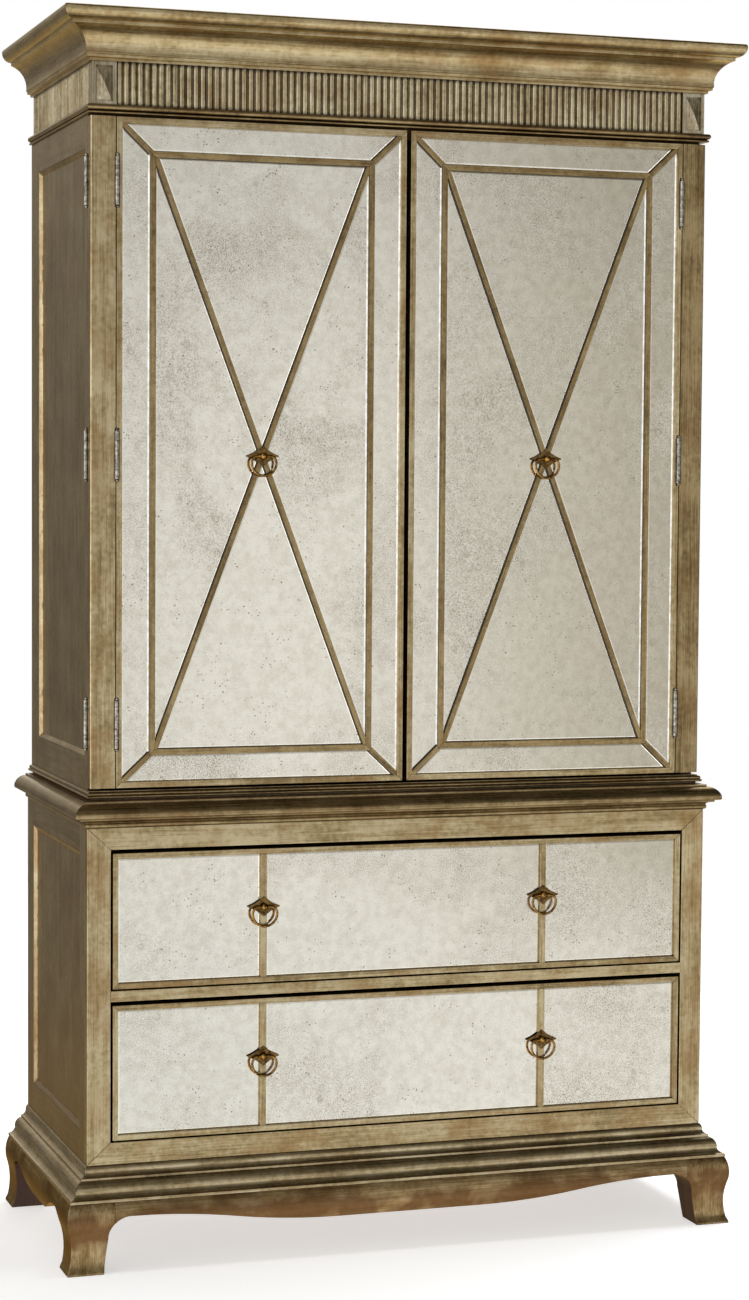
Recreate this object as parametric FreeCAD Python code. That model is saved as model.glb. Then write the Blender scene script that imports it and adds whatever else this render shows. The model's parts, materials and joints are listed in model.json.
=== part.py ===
"""Two-stage mirrored armoire: a two-door cabinet on a two-drawer chest.

Units are millimetres. +X is to the right of someone facing the doors, -Y is the front
and +Z is up. The origin is on the floor, under the middle of the bounding box.
"""
import FreeCAD, Part
import math
import os

V = FreeCAD.Vector

# --- Driving dimensions -------------------------------------------------------------
overall_height = 2134.0
overall_depth = 550.0
back_y = overall_depth / 2
cornice_projection = 55.0

upper_half = 565.0              # half width of the upper cabinet
upper_front = -back_y + cornice_projection
lower_half = 572.5              # half width of the lower chest
lower_front = upper_front - 12.0
board = 22.0                    # thickness of frames, rails and base members
shelf_board = 18.0              # thickness of bottom, top and shelf boards

foot_top = 122.0
base_top = 178.0                # top of the base moulding
waist_bottom = 758.0
waist_top = 803.0               # top of the lower chest
upper_floor = 820.0             # top of the moulding under the upper cabinet
door_bottom = 824.0
door_top = 1959.0
frieze_bottom = 1963.0
reed_bottom = 1978.0
cornice_bottom = 2050.0

# Pilasters and doors
pilaster_inner = 521.5
pilaster_back = upper_front + 24.0
case_edge = upper_front + 26.0  # front edge of the cabinet's sides
door_outer = 520.0
door_inner = 4.0
door_border = 10.0
strip_width = 10.5
diagonal_width = 8.8            # crossed diagonals and corner strips
lattice_inset_x = 58.0
lattice_inset_z = 55.0
glass_sunk = 4.0                # glass face below the face of the strips
glass_thickness = 5.0
glass_bevel_width = 3.2
glass_bevel_depth = 0.52

# Hinges
hinge_length = 82.0
hinge_levels = (933.0, 1391.0, 1852.0)
knuckle_radius = 4.0
knuckle_gap = 0.6
knuckle_clearance = 0.3         # between a barrel and the leaf cut away round it
pin_radius = 1.5
pin_clearance = 0.05
pin_overrun = 1.5               # pin beyond each end of the barrel
pin_tip_radius = 2.6
pin_tip_offset = 2.4            # centre of the ball tip beyond the barrel
pin_tip_flat = 0.1              # tip kept clear of the barrel's end
leaf_reach = 20.0
outer_leaf_start = 1.0          # leaf edge from the hinge axis, case and post
inner_leaf_start = 2.5          # leaf edge from the hinge axis, post and door
gain_clearance = 0.4            # wood round a barrel
gain_overrun = 4.0              # gain beyond each end of the barrel
outer_axis = (upper_half + 2.0, upper_front + 25.0)
inner_axis = (519.0, upper_front - 2.0)

# Drawers
opening_half = 531.0
opening_bottom = 216.0
opening_height = 242.5
drawer_rail_height = 19.0
drawer_side_gap = 3.5
drawer_bottom_gap = 2.5
drawer_face_height = 233.5
drawer_border = 9.5
muntin_centre = 260.0
muntin_width = 11.0
drawer_box_half = 515.0
drawer_box_height = 180.0
drawer_box_lift = 12.0
drawer_box_back = 200.0
drawer_side_thickness = 12.0
drawer_bottom_lift = 8.0        # drawer bottom above the lower edge of its sides
drawer_bottom_thickness = 6.0
drawer_slack = 0.5              # between a drawer box and its runner and guide
runner_height = 15.0
runner_seat = 22.0              # width of runner under the drawer's side
guide_height = 20.0

# Pulls
pull_centre_x = (door_outer + door_inner) / 2
plate_half_width = 28.0
plate_half_height = 17.0
plate_thickness = 2.0
ring_wire = 2.25
ring_stand_off = 7.0            # ring axis in front of the face of the strips
ring_half_width = 22.0
ring_corner = 12.0
ball_radius = 6.0
neck_radius = 3.0
ring_clearance = 0.08
drawer_pull_rise = 16.0         # plate above the middle of a drawer's face


# --- Small geometry helpers ---------------------------------------------------------
def box(x0, x1, y0, y1, z0, z1):
    """Box between two corners given as ranges on each axis."""
    return Part.makeBox(x1 - x0, y1 - y0, z1 - z0, V(x0, y0, z0))


def outline(start, steps, place):
    """Closed wire. A step is a point, or (via, end) for an arc; place maps 2D to 3D."""
    edges = []
    here = start
    for step in list(steps) + [start]:
        if isinstance(step[0], tuple):
            via, end = step
            edges.append(Part.Arc(place(*here), place(*via), place(*end)).toShape())
        else:
            end = step
            edges.append(Part.makeLine(place(*here), place(*end)))
        here = end
    return Part.Wire(edges)


def prism(start, steps, place, direction):
    """Solid made by moving a closed outline along a direction."""
    return Part.Face(outline(start, steps, place)).extrude(direction)


def prism_x(start, steps, x0, x1):
    """Outline in (y, z), extruded along X."""
    return prism(start, steps, lambda y, z: V(x0, y, z), V(x1 - x0, 0, 0))


def prism_y(start, steps, y0, y1):
    """Outline in (x, z), extruded along Y."""
    return prism(start, steps, lambda x, z: V(x, y0, z), V(0, y1 - y0, 0))


def prism_z(start, steps, z0, z1):
    """Outline in (x, y), extruded along Z."""
    return prism(start, steps, lambda x, y: V(x, y, z0), V(0, 0, z1 - z0))


def flat_face(points):
    return Part.Face(Part.makePolygon(points + points[:1]))


def flat_sided(rings):
    """Solid with flat faces between rings of points that match one to one."""
    faces = [flat_face(rings[0]), flat_face(rings[-1])]
    for ring, following in zip(rings, rings[1:]):
        for index in range(len(ring)):
            after = (index + 1) % len(ring)
            faces.append(flat_face([ring[index], ring[after],
                                    following[after], following[index]]))
    shell = Part.makeShell(faces)
    shell.sewShape()
    return Part.makeSolid(shell)


def mirror_x(shape):
    """The same shape on the other side of the middle plane."""
    return shape.mirror(V(0, 0, 0), V(1, 0, 0))


def both_sides(shapes):
    """The shapes and their mirror images."""
    return shapes + [mirror_x(shape) for shape in shapes]


def clip(polygon, half_plane, margin=0.0):
    """Part of a convex polygon where a*u + b*v <= c - margin."""
    a, b, c = half_plane
    kept = []
    for index, point in enumerate(polygon):
        previous = polygon[index - 1]
        inside = a * point[0] + b * point[1] - c + margin
        before = a * previous[0] + b * previous[1] - c + margin
        if inside * before < 0:
            t = before / (before - inside)
            kept.append(tuple(p + t * (q - p) for p, q in zip(previous, point)))
        if inside <= 0:
            kept.append(point)
    return kept


def region(half_planes, margin=0.0):
    """Convex polygon bounded by half planes, drawn in by a margin."""
    reach = 3 * overall_height
    polygon = [(-reach, -reach), (reach, -reach), (reach, reach), (-reach, reach)]
    for half_plane in half_planes:
        polygon = clip(polygon, half_plane, margin)
    return polygon


def left_of(start, end, gap=0.0):
    """Half plane to the left of the line from start to end, at least gap away from it."""
    du, dv = end[0] - start[0], end[1] - start[1]
    length = math.hypot(du, dv)
    a, b = dv / length, -du / length
    return a, b, a * start[0] + b * start[1] - gap


def rectangle(u0, u1, v0, v1):
    """Half planes of an upright rectangle."""
    return [(-1, 0, -u0), (1, 0, u1), (0, -1, -v0), (0, 1, v1)]


def bar_between(start, end, width):
    """Half planes of an endless bar of a given width along a line."""
    return [left_of(start, end, -width / 2), left_of(end, start, -width / 2)]


def face_prism(half_planes, y0, y1):
    """Prism of a convex region in (x, z) between two depths."""
    points = region(half_planes)
    return prism_y(points[0], points[1:], y0, y1)


def glass_pane(half_planes, face_y):
    """Pane with its front face at face_y and a shallow bevel round its edge."""
    bevel_y = face_y + glass_bevel_depth
    depths = ((face_y + glass_thickness, 0.0), (bevel_y, 0.0), (face_y, glass_bevel_width))
    return flat_sided([[V(x, depth, z) for x, z in region(half_planes, margin)]
                       for depth, margin in depths])


def mitred_lengths(start, steps, half, front, inset, reach):
    """Front, left and right lengths of a moulding, mitred at the two front corners.

    The profile is in (projection, z). Projection is measured outwards from a case whose
    side is at half and whose face is at front.
    """
    def on_front(projection, z):
        return V(-half - reach, front - projection, z)

    def on_side(projection, z):
        return V(-half - projection, front - reach, z)

    low, high = 0.0, overall_height
    inner, outer = half - inset, half + reach
    front_plan = prism_z((-inner, front + inset), [(inner, front + inset),
                         (outer, front - reach), (-outer, front - reach)], low, high)
    side_plan = prism_z((-inner, front + inset), [(-inner, back_y),
                        (-outer, back_y), (-outer, front - reach)], low, high)
    run_x = V(2 * (half + reach), 0, 0)
    run_y = V(0, back_y - front + reach, 0)
    front_length = prism(start, steps, on_front, run_x).common(front_plan)
    side_length = prism(start, steps, on_side, run_y).common(side_plan)
    return [front_length, side_length, mirror_x(side_length)]


def rectangle_frame(x0, x1, z0, z1, width, height, y0, y1):
    """Four mitred bars of a frame: bars beside are width wide, bars across height high."""
    outer = [(x0, z0), (x1, z0), (x1, z1), (x0, z1)]
    inner = [(x0 + width, z0 + height), (x1 - width, z0 + height),
             (x1 - width, z1 - height), (x0 + width, z1 - height)]
    bars = []
    for index in range(4):
        after = (index + 1) % 4
        corners = [outer[after], inner[after], inner[index]]
        bars.append(prism_y(outer[index], corners, y0, y1))
    return bars


# --- Base: feet, aprons and base moulding ------------------------------------------
foot_width = 84.0               # foot and its ears, to the joint with the apron
foot_profile = [(36.0, foot_top), ((41.5, 107.0), (40.0, 76.0)),
                ((35.0, 40.0), (38.5, 12.0)), (43.0, 3.0), (43.0, 0.0)]
foot_reach = 43.0
foot_sole = 64.0
foot_ankle = (72.5, 58.0)       # width and height where the sides start to spread
foot_arch = (83.5, 86.0)
foot_spread = 109.5
apron_end_height = 97.5
apron_drop = 29.0
apron_back = 12.0
front_wave = (500.0, 130.0)     # half widths where the drop starts and where it is full
side_wave = (160.0, 45.0)
below_floor = 1.0


def s_curve(start, end):
    """Two equal arcs that leave start and reach end level."""
    drop = end[1] - start[1]
    span = end[0] - start[0]
    middle = (start[0] + span / 2, start[1] + drop / 2)
    return [((start[0] + span / 4, start[1] + drop / 8), middle),
            ((end[0] - span / 4, end[1] - drop / 8), end)]


def under_base(outer, wave):
    """Outline of the space between two feet, with the apron's drop in the middle."""
    flat_start, flat_end = wave
    start = (-outer + foot_sole, 0.0)
    spread = -outer + foot_spread
    low = apron_end_height - apron_drop
    steps = [(-outer + foot_ankle[0], foot_ankle[1]),
             ((-outer + foot_arch[0], foot_arch[1]), (spread, apron_end_height)),
             (-flat_start, apron_end_height)]
    steps += s_curve((-flat_start, apron_end_height), (-flat_end, low))
    steps.append((flat_end, low))
    steps += s_curve((flat_end, low), (flat_start, apron_end_height))
    steps += [(-spread, apron_end_height),
              ((outer - foot_arch[0], foot_arch[1]), (outer - foot_ankle[0], foot_ankle[1])),
              (outer - foot_sole, 0.0), (outer - foot_sole, -below_floor),
              (-outer + foot_sole, -below_floor)]
    return start, steps


def front_space():
    """Space under the chest seen from the front, right through it."""
    start, steps = under_base(lower_half + foot_reach, front_wave)
    return prism_y(start, steps, -overall_depth, overall_depth)


def side_space():
    """Space under the chest seen from the side, right through it."""
    start, steps = under_base(back_y, side_wave)
    return prism_x(start, steps, -overall_height, overall_height)


def swelled_outline(back):
    """Profile of foot or apron in (projection, z), closed at the given back projection."""
    return foot_profile[0], foot_profile[1:] + [(back, 0.0), (back, foot_top)]


def swelled_front(x0, x1, back):
    """Length of the swelled profile along the front."""
    start, steps = swelled_outline(back)
    return prism(start, steps, lambda p, z: V(x0, lower_front - p, z), V(x1 - x0, 0, 0))


def swelled_side(y0, y1, back):
    """Length of the swelled profile along the left side."""
    start, steps = swelled_outline(back)
    return prism(start, steps, lambda p, z: V(-lower_half - p, y0, z), V(0, y1 - y0, 0))


def front_feet():
    outer = lower_half + foot_reach
    inside = foot_reach - foot_width
    along_front = swelled_front(-outer, -outer + foot_width, inside)
    along_side = swelled_side(-back_y, -back_y + foot_width, inside)
    foot = along_front.common(along_side).cut(front_space()).cut(side_space())
    return both_sides([foot])


def back_feet():
    foot = swelled_side(back_y - foot_width, back_y, foot_reach - foot_width)
    return both_sides([foot.cut(front_space()).cut(side_space())])


def aprons():
    """Front apron and one apron on each side, between the feet."""
    end_x = lower_half + foot_reach - foot_width
    end_y = back_y - foot_width
    front = swelled_front(-end_x, end_x, apron_back).cut(front_space())
    side = swelled_side(-end_y, end_y, apron_back).cut(side_space())
    return [front] + both_sides([side])


def base_moulding():
    """Two ogee stages, each ending in a fillet."""
    steps = [(37.0, foot_top), (37.0, 127.0), ((29.5, 129.5), (25.0, 136.5)),
             ((23.8, 146.5), (17.5, 154.0)), (13.0, 155.5), (13.0, 159.5),
             ((7.5, 162.0), (4.5, 168.0)), ((3.8, 174.0), (1.0, base_top)),
             (-board, base_top)]
    return mitred_lengths((-board, foot_top), steps, lower_half, lower_front, board, 40.0)


# --- Framed sides, shared by both stages -------------------------------------------
panel_sunk = 6.0
panel_thickness = 10.0
panel_bevel = 8.0


def side_frame(outer, front, z_low, z_high, opening):
    """Left side frame: stiles, rails and the sloping moulding inside them."""
    y0, y1, z0, z1 = opening
    face, inner = -outer, -outer + board
    frame = [box(face, inner, front, y0, z_low, z_high),
             box(face, inner, y1, back_y, z_low, z_high),
             box(face, inner, y0, y1, z_low, z0),
             box(face, inner, y0, y1, z1, z_high)]
    corners = [(y0, z0), (y1, z0), (y1, z1), (y0, z1)]
    inward = [(1, 1), (-1, 1), (-1, -1), (1, -1)]
    for index in range(4):
        after = (index + 1) % 4
        frame.append(slope_strip(corners[index], corners[after], inward[index],
                                 inward[after], face))
    return frame


def slope_strip(start, end, inward_start, inward_end, face):
    """Wedge strip from the frame's face down to the panel, mitred at its ends."""
    rings = []
    for point, inward in ((start, inward_start), (end, inward_end)):
        foot_y = point[0] + panel_bevel * inward[0]
        foot_z = point[1] + panel_bevel * inward[1]
        rings.append([V(face, *point), V(face + panel_sunk, *point),
                      V(face + panel_sunk, foot_y, foot_z)])
    return flat_sided(rings)


def side_panel(outer, opening):
    """Sunk panel that fills a side frame's opening."""
    y0, y1, z0, z1 = opening
    face = -outer + panel_sunk
    return box(face, face + panel_thickness, y0, y1, z0, z1)


lower_opening = (lower_front + 56.0, back_y - 54.0, 230.0, 711.0)
upper_opening = (upper_front + 42.0, back_y - 66.0, 876.5, 1907.0)
lower_sheet = 785.0             # underside of the chest's top board
back_panel = 8.0


# --- Lower chest --------------------------------------------------------------------
def lower_side_frame():
    return side_frame(lower_half, lower_front + board, base_top, lower_sheet, lower_opening)


def face_frame():
    """Mitred frame round the drawers: stiles and the two outer rails."""
    return rectangle_frame(-lower_half, lower_half, base_top, waist_bottom,
                           lower_half - opening_half, opening_bottom - base_top,
                           lower_front, lower_front + board)


def drawer_openings():
    """Bottom heights of the two drawer openings, lower one first."""
    return opening_bottom, opening_bottom + opening_height + drawer_rail_height


def drawer_rails():
    """Rail between the drawers and rail behind the waist moulding."""
    low = opening_bottom + opening_height
    y0, y1 = lower_front, lower_front + board
    return [box(-opening_half, opening_half, y0, y1, low, low + drawer_rail_height),
            box(-lower_half, lower_half, y0, y1, waist_bottom, lower_sheet)]


def lower_top_board():
    return [box(-lower_half, lower_half, lower_front, back_y, lower_sheet, waist_top)]


def lower_bottom_board():
    inner = lower_half - board
    return [box(-inner, inner, lower_front + board, back_y - back_panel,
                base_top, base_top + shelf_board)]


def lower_back_panel():
    inner = lower_half - board
    return [box(-inner, inner, back_y - back_panel, back_y, base_top, lower_sheet)]


def drawer_runners():
    """A runner under each drawer side and a guide beside it."""
    inner = lower_half - board
    y0, y1 = lower_front + board, back_y - back_panel
    pieces = []
    for low in drawer_openings():
        top = low + drawer_box_lift - drawer_slack
        pieces.append(box(-inner, runner_seat - drawer_box_half, y0, y1,
                          top - runner_height, top))
        pieces.append(box(-inner, -drawer_box_half - drawer_slack, y0, y1,
                          top, top + guide_height))
    return both_sides(pieces)


def waist_moulding():
    """Ovolo nose over a small bead, cove and second bead."""
    steps = [(2.5, 758.5), ((4.6, 762.5), (3.0, 766.5)), ((6.5, 770.0), (14.0, 771.5)),
             (15.5, 772.5), (15.5, 775.0), (24.5, 776.5), (25.5, 778.5), (25.5, 783.0),
             ((18.0, 794.5), (4.5, 799.5)), (4.5, waist_top), (0.0, waist_top)]
    return mitred_lengths((0.0, waist_bottom), steps, lower_half, lower_front, 0.0, 30.0)


# --- Drawers ------------------------------------------------------------------------
def drawer_face_range(low):
    """Bottom and top heights of a drawer's face."""
    bottom = low + drawer_bottom_gap
    return bottom, bottom + drawer_face_height


def drawer_face_half():
    return opening_half - drawer_side_gap


def drawer_box(low):
    """Two sides, back and bottom behind the drawer's face."""
    z0 = low + drawer_box_lift
    z1 = z0 + drawer_box_height
    y0, y1 = lower_front + board, drawer_box_back
    side = drawer_side_thickness
    half = drawer_box_half
    bottom_z = z0 + drawer_bottom_lift
    bottom = box(side - half, half - side, y0, y1 - side,
                 bottom_z, bottom_z + drawer_bottom_thickness)
    back = box(side - half, half - side, y1 - side, y1, z0, z1)
    return both_sides([box(-half, side - half, y0, y1, z0, z1)]) + [back, bottom]


def drawer_front(low):
    """Mitred border, two upright bars between the mirrors and the board behind them."""
    z0, z1 = drawer_face_range(low)
    half = drawer_face_half()
    pieces = rectangle_frame(-half, half, z0, z1, drawer_border, drawer_border,
                             lower_front, lower_front + board)
    bed = lower_front + glass_sunk + glass_thickness
    z0, z1, half = z0 + drawer_border, z1 - drawer_border, half - drawer_border
    pieces.append(box(-half, half, bed, lower_front + board, z0, z1))
    for centre in (-muntin_centre, muntin_centre):
        pieces.append(box(centre - muntin_width / 2, centre + muntin_width / 2,
                          lower_front, bed, z0, z1))
    return pieces


def drawer_mirrors(low):
    """Three bevelled mirrors, side by side."""
    z0, z1 = drawer_face_range(low)
    z0, z1 = z0 + drawer_border, z1 - drawer_border
    half = drawer_face_half() - drawer_border
    near, far = muntin_centre - muntin_width / 2, muntin_centre + muntin_width / 2
    face_y = lower_front + glass_sunk
    return [glass_pane(rectangle(x0, x1, z0, z1), face_y)
            for x0, x1 in ((-half, -far), (-near, near), (far, half))]


def drawer_pull_height(low):
    """The plate sits a little above the middle of the drawer's face."""
    z0, z1 = drawer_face_range(low)
    return (z0 + z1) / 2 + drawer_pull_rise


# --- Pulls --------------------------------------------------------------------------
def pull(centre_x, centre_z, face_y):
    """Rhombic back plate with hollowed sides, and a bored ball on a short neck."""
    w, h = plate_half_width, plate_half_height
    tip, hollow = 1.0, 0.44
    corners = [(w, tip), (tip, h), (-tip, h), (-w, tip), (-w, -tip), (-tip, -h), (tip, -h),
               (w, -tip)]
    steps = []
    for index in range(1, len(corners)):
        point = corners[index]
        if index % 2:
            before = corners[index - 1]
            via = (hollow * (before[0] + point[0]), hollow * (before[1] + point[1]))
            steps.append((via, point))
        else:
            steps.append(point)
    plate = prism(corners[0], steps,
                  lambda u, v: V(centre_x + u, face_y - plate_thickness, centre_z + v),
                  V(0, plate_thickness, 0))
    axis_y = face_y - ring_stand_off
    neck = Part.makeCylinder(neck_radius, ring_stand_off - plate_thickness,
                             V(centre_x, face_y - plate_thickness, centre_z), V(0, -1, 0))
    ball = Part.makeSphere(ball_radius, V(centre_x, axis_y, centre_z))
    ball = ball.common(box(centre_x - w, centre_x + w, axis_y - w,
                           face_y - plate_thickness, centre_z - w, centre_z + w))
    bore = Part.makeCylinder(ring_wire + ring_clearance, 2 * w,
                             V(centre_x - w, axis_y, centre_z), V(1, 0, 0))
    post = ball.fuse(neck).cut(bore)
    return [plate, post.removeSplitter()]


def ring(centre_x, centre_z, face_y):
    """Hanging ring: a straight bar in the ball, rounded shoulders and a half circle."""
    axis_y = face_y - ring_stand_off
    bar_half = ring_half_width - ring_corner

    def turned(start_u, start_v, centre_u, centre_v, along, angle):
        disc = Part.Face(Part.Wire(Part.makeCircle(
            ring_wire, V(centre_x + start_u, axis_y, centre_z + start_v), along)))
        return disc.revolve(V(centre_x + centre_u, axis_y, centre_z + centre_v),
                            V(0, 1, 0), angle)

    bar = Part.makeCylinder(ring_wire, 2 * bar_half,
                            V(centre_x - bar_half, axis_y, centre_z), V(1, 0, 0))
    right = turned(bar_half, 0, bar_half, -ring_corner, V(1, 0, 0), 90)
    left = turned(-bar_half, 0, -bar_half, -ring_corner, V(1, 0, 0), -90)
    half_ring = turned(ring_half_width, -ring_corner, 0, -ring_corner, V(0, 0, 1), 180)
    return [bar.fuse([right, left, half_ring]).removeSplitter()]


# --- Upper cabinet ------------------------------------------------------------------
def upper_side_frame():
    frame = side_frame(upper_half, case_edge, upper_floor, frieze_bottom, upper_opening)
    gain = hinge_gains(outer_axis)
    return [frame[0].cut(gain)] + frame[1:]


def upper_base_moulding():
    """Double bead on a sunk foot line, between the chest and the doors."""
    steps = [(-2.0, waist_top), (-2.0, 807.5), (5.0, 807.5), ((6.8, 809.8), (5.0, 812.0)),
             (3.8, 812.4), ((4.6, 815.4), (1.5, 818.2)), (0.0, 818.6), (0.0, upper_floor),
             (-board, upper_floor)]
    return mitred_lengths((-board, waist_top), steps, upper_half, upper_front, board, 12.0)


def upper_bottom_board():
    inner = upper_half - board
    return [box(-inner, inner, upper_front + board, back_y, waist_top, upper_floor)]


def upper_top_board():
    inner = upper_half - board
    return [box(-inner, inner, case_edge, back_y - back_panel,
                frieze_bottom - shelf_board, frieze_bottom)]


def upper_back_panel():
    inner = upper_half - board
    return [box(-inner, inner, back_y - back_panel, back_y, upper_floor, frieze_bottom)]


shelf_level = 1640.0
shelf_setback = 50.0            # front edge of the shelf behind the case's front edge
rod_radius = 12.5
rod_level = 1585.0
rod_y = 40.0
rod_clearance = 0.3
socket_length = 12.0
socket_radius = 24.0


def hat_shelf():
    inner = upper_half - board
    return [box(-inner, inner, case_edge + shelf_setback, back_y - back_panel,
                shelf_level, shelf_level + shelf_board)]


def clothes_rod():
    inner = upper_half - board
    return [Part.makeCylinder(rod_radius, 2 * inner, V(-inner, rod_y, rod_level), V(1, 0, 0))]


def rod_sockets():
    start = V(-(upper_half - board), rod_y, rod_level)
    cup = Part.makeCylinder(socket_radius, socket_length, start, V(1, 0, 0))
    bore = Part.makeCylinder(rod_radius + rod_clearance, socket_length, start, V(1, 0, 0))
    return both_sides([cup.cut(bore)])


# --- Frieze and cornice -------------------------------------------------------------
frieze_sunk = 2.6               # reed tips behind the cabinet's face
reed_sheet = 5.0
reed_pitch = 12.05
reed_depth = 3.4
reed_groove = 1.2
block_inner = 520.0
side_land = 17.0                # plain strip before the reeds on each side
frieze_board_thickness = 17.0
frieze_board_top = 2128.0
frieze_cap_thickness = 12.0
diamond_half_width = 14.5
diamond_half_height = 29.5
diamond_border_sunk = 3.0
diamond_rise = 5.4
diamond_margin = 1.0            # foot of the diamond inside the edge of its recess


def frieze_boards():
    """Plain boards behind the reeds on three sides, and the boards at the top and back."""
    face = frieze_sunk + reed_sheet
    front_y = upper_front + face
    outer = upper_half - face
    inner = outer - frieze_board_thickness
    front_board = box(-inner, inner, front_y, front_y + frieze_board_thickness,
                      frieze_bottom, frieze_board_top)
    side_board = box(-outer, -inner, front_y, back_y, frieze_bottom, frieze_board_top)
    top_board = box(-inner, inner, front_y + frieze_board_thickness, back_y,
                    frieze_board_top - frieze_cap_thickness, frieze_board_top)
    back_board = box(-inner, inner, back_y - back_panel, back_y,
                     frieze_bottom, frieze_board_top - frieze_cap_thickness)
    return [front_board, back_board, top_board] + both_sides([side_board])


def reeded_strip(length, land):
    """Outline steps of a reeded sheet in (along, out): plain land first, then reeds."""
    top, root = reed_sheet, reed_sheet - reed_depth
    count = round((length - land) / reed_pitch)
    pitch = (length - land) / count
    steps = [(0.0, top), (land, top)] if land else [(0.0, root)]
    for index in range(count):
        start = land + index * pitch
        left, right = start + reed_groove / 2, start + pitch - reed_groove / 2
        steps.append((start if index == 0 and land else left, root))
        if index == 0 and land:
            steps.append((left, root))
        steps.append((((left + right) / 2, top), (right, root)))
    steps.append((length, root))
    steps.append((length, 0.0))
    return steps


def frieze_reeding():
    """Reeded facing of the frieze between bead and cornice."""
    base_y = upper_front + frieze_sunk + reed_sheet
    base_x = upper_half - frieze_sunk - reed_sheet
    rise = V(0, 0, cornice_bottom - reed_bottom)
    front_steps = reeded_strip(2 * block_inner, 0.0)
    side_steps = reeded_strip(back_y - base_y, side_land)
    front_sheet = prism((0.0, 0.0), front_steps,
                        lambda u, v: V(u - block_inner, base_y - v, reed_bottom), rise)
    side_sheet = prism((0.0, 0.0), side_steps,
                       lambda u, v: V(-base_x - v, base_y + u, reed_bottom), rise)
    return [front_sheet] + both_sides([side_sheet])


def frieze_corner_blocks():
    """Plain block with a sunk border round a raised diamond point."""
    outer = upper_half - frieze_sunk
    face_y = upper_front + frieze_sunk
    bed_y = face_y + reed_sheet
    block = box(-outer, -block_inner, face_y, bed_y, reed_bottom, cornice_bottom)
    centre_x = -(outer + block_inner) / 2
    centre_z = (reed_bottom + cornice_bottom) / 2
    w, h = diamond_half_width, diamond_half_height
    recess = box(centre_x - w, centre_x + w, face_y, face_y + diamond_border_sunk,
                 centre_z - h, centre_z + h)
    sunk_y = face_y + diamond_border_sunk
    tip = V(centre_x, sunk_y - diamond_rise, centre_z)
    corners = [V(centre_x + i * (w - diamond_margin), sunk_y,
                 centre_z + j * (h - diamond_margin)) for i, j in ((-1, -1), (1, -1), (1, 1), (-1, 1))]
    faces = [flat_face(corners)]
    for index in range(4):
        faces.append(flat_face([corners[index], corners[(index + 1) % 4], tip]))
    shell = Part.makeShell(faces)
    shell.sewShape()
    diamond = Part.makeSolid(shell)
    return both_sides([block.cut(recess).fuse(diamond).removeSplitter()])


def frieze_bead():
    """Large bead over a small one, above the doors."""
    back = -frieze_sunk - reed_sheet
    steps = [(2.5, frieze_bottom), ((4.8, 1965.0), (2.5, 1967.0)), (1.5, 1967.5),
             (2.5, 1968.0), ((7.2, 1973.0), (2.5, reed_bottom)), (back, reed_bottom)]
    return mitred_lengths((back, frieze_bottom), steps, upper_half, upper_front, -back, 12.0)


def cornice():
    """Steps, a deep cove, a fillet and a heavy ovolo at the top."""
    back = -frieze_sunk - reed_sheet
    steps = [(2.5, cornice_bottom), (2.5, 2054.0), (8.5, 2055.5), (8.5, 2059.5),
             (10.5, 2061.0), ((15.5, 2087.0), (37.0, 2105.0)), (38.5, 2105.5),
             (38.5, 2110.5), ((52.0, 2118.0), (cornice_projection, 2128.0)),
             ((54.2, 2132.0), (51.5, overall_height)), (back, overall_height)]
    return mitred_lengths((back, cornice_bottom), steps, upper_half, upper_front, -back,
                          cornice_projection)


# --- Pilasters and hinges -----------------------------------------------------------
def hinge_gains(axis):
    """Round clearance cut in the wood beside each barrel, on the left side."""
    x, y = -axis[0], axis[1]
    length = hinge_length + 2 * gain_overrun
    gains = [Part.makeCylinder(knuckle_radius + gain_clearance, length, V(x, y, level - length / 2))
             for level in hinge_levels]
    return Part.makeCompound(gains)


def pilaster():
    """Narrow hinged post with a rounded front arris."""
    x0, x1 = -upper_half, -pilaster_inner
    y0, y1 = upper_front, pilaster_back
    r = 3.0
    bulge = r * (1 - math.sqrt(0.5))
    steps = [(x1, y1), (x1, y0), (x0 + r, y0), ((x0 + bulge, y0 + bulge), (x0, y0 + r))]
    post = prism_z((x0, y1), steps, door_bottom, door_top)
    return [post.cut(hinge_gains(outer_axis)).cut(hinge_gains(inner_axis))]


def knuckle(axis, z0, z1, radius, grow=0.0):
    """Barrel slice round a hinge axis on the left side."""
    return Part.makeCylinder(radius, z1 - z0 + 2 * grow, V(-axis[0], axis[1], z0 - grow))


def hinge_leaf(axis, plate_x, plate_y, level, own):
    """One leaf: a thin plate and its own knuckles, bored for the pin.

    Knuckles are numbered 0 to 4 from the bottom; own lists the ones on this leaf.
    """
    low = level - hinge_length / 2
    pitch = hinge_length / 5
    leaf = box(plate_x[0], plate_x[1], plate_y[0], plate_y[1], low, low + hinge_length)
    for index in range(5):
        z0, z1 = low + index * pitch, low + (index + 1) * pitch
        if index in own:
            leaf = leaf.fuse(knuckle(axis, z0, z1 - knuckle_gap, knuckle_radius))
        else:
            leaf = leaf.cut(knuckle(axis, z0, z1, knuckle_radius + knuckle_clearance,
                                    knuckle_gap))
    bore = knuckle(axis, low, low + hinge_length, pin_radius + pin_clearance, pin_overrun)
    return leaf.cut(bore).removeSplitter()


def hinge_pins(axis):
    """Pins with small ball tips above and below the barrel."""
    pins = []
    for level in hinge_levels:
        low = level - hinge_length / 2
        high = low + hinge_length
        pin = knuckle(axis, low, high, pin_radius, pin_overrun)
        slab = knuckle(axis, low, high, 2 * pin_tip_radius, pin_tip_flat)
        for tip_z in (low - pin_tip_offset, high + pin_tip_offset):
            tip = Part.makeSphere(pin_tip_radius, V(-axis[0], axis[1], tip_z))
            pin = pin.fuse(tip.cut(slab))
        pins.append(pin)
    return pins


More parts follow.
